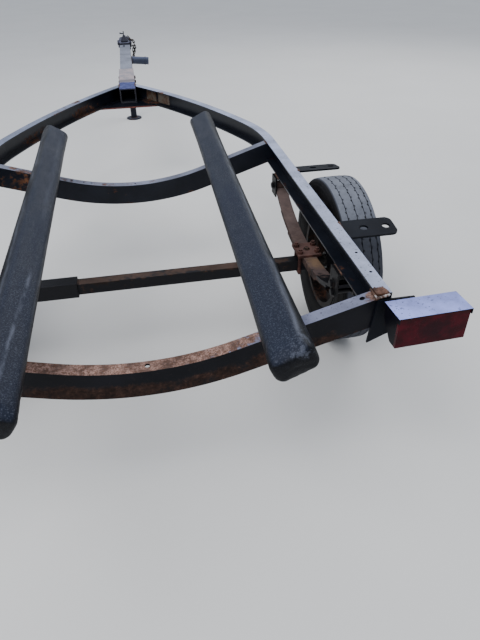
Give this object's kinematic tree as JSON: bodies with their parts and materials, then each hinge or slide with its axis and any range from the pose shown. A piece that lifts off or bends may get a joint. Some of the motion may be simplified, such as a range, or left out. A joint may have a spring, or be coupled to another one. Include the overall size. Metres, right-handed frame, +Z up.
{
  "type": "boat trailer",
  "caption": "Two-wheeled boat trailer with curved channel rails, dished crossmembers, padded bunks, leaf springs, a telescoping tongue, ball coupler, tongue jack and bare fender brackets.",
  "frame": {"origin": "on the ground, midway along the length, on the centre line", "axes": "+Y forward towards the coupler, +X to the trailer's right, +Z up"},
  "size_m": [1.4878, 4.2108, 0.6401],
  "materials": {
    "frame_paint": "worn gloss black paint with rust breaking through",
    "rusted_steel": "bare steel gone brown with rust, traces of black paint",
    "machined_steel": "greased turned steel",
    "sleeve_paint": "pale chalky paint, blue band at the rear end",
    "tongue_paint": "dull grey-black paint",
    "chain_steel": "dark weathered chain",
    "rim_paint": "dirty pale painted wheel with rust",
    "tyre_rubber": "worn grey-black rubber",
    "light_housing": "satin black sheet",
    "red_lens": "deep red moulded lens",
    "bunk_cover": "blue-black matte cover over timber",
    "label_plate": "blank tarnished plates"
  },
  "bodies": {
    "frame": {"side_rail_left": "frame_paint", "side_rail_right": "frame_paint", "rear_crossmember": "frame_paint", "front_crossmember": "frame_paint", "apex_plate": "rusted_steel", "tongue_rear_tube": "sleeve_paint", "tongue_front_tube": "tongue_paint", "coupler": "tongue_paint", "coupler_latch": "tongue_paint", "jack_mount_stub": "tongue_paint", "tongue_jack_tube": "tongue_paint", "tongue_jack_crank": "tongue_paint", "safety_chain": "chain_steel", "axle_beam": "rusted_steel", "axle_sleeve": "rusted_steel", "leaf_spring_left": "rusted_steel", "leaf_spring_right": "rusted_steel", "spring_clamp_left": "rusted_steel", "spring_clamp_right": "rusted_steel", "spring_hangers_left": "rusted_steel", "spring_hangers_right": "rusted_steel", "wheel_spindle_left": "machined_steel", "wheel_spindle_right": "machined_steel", "fender_brackets_left": "frame_paint", "fender_brackets_right": "frame_paint", "light_box_left": "light_housing", "light_box_right": "light_housing", "light_lens_left": "red_lens", "light_lens_right": "red_lens", "light_plate_left": "frame_paint", "light_plate_right": "frame_paint", "bunk_left": "bunk_cover", "bunk_right": "bunk_cover", "bunk_brackets_front": "rusted_steel", "bunk_brackets_rear": "rusted_steel", "rail_plates": "label_plate"},
    "wheel_left": {"wheel_hub_left": "rusted_steel", "wheel_rim_left": "rim_paint", "tyre_left": "tyre_rubber"},
    "wheel_right": {"wheel_hub_right": "rusted_steel", "wheel_rim_right": "rim_paint", "tyre_right": "tyre_rubber"},
    "jack_leg": {"tongue_jack_leg": "tongue_paint"}
  },
  "joints": [
    {"name": "wheel_left_spin", "type": "hinge", "parent": "frame", "child": "wheel_left", "pos_m": [-0.668, -1.24998, 0.283], "axis": [1, 0, 0], "continuous": true},
    {"name": "wheel_right_spin", "type": "hinge", "parent": "frame", "child": "wheel_right", "pos_m": [0.668, -1.24998, 0.283], "axis": [1, 0, 0], "continuous": true},
    {"name": "jack_lift", "type": "slide", "parent": "frame", "child": "jack_leg", "axis": [0, 0, 1], "range_m": [0, 0.2]}
  ]
}
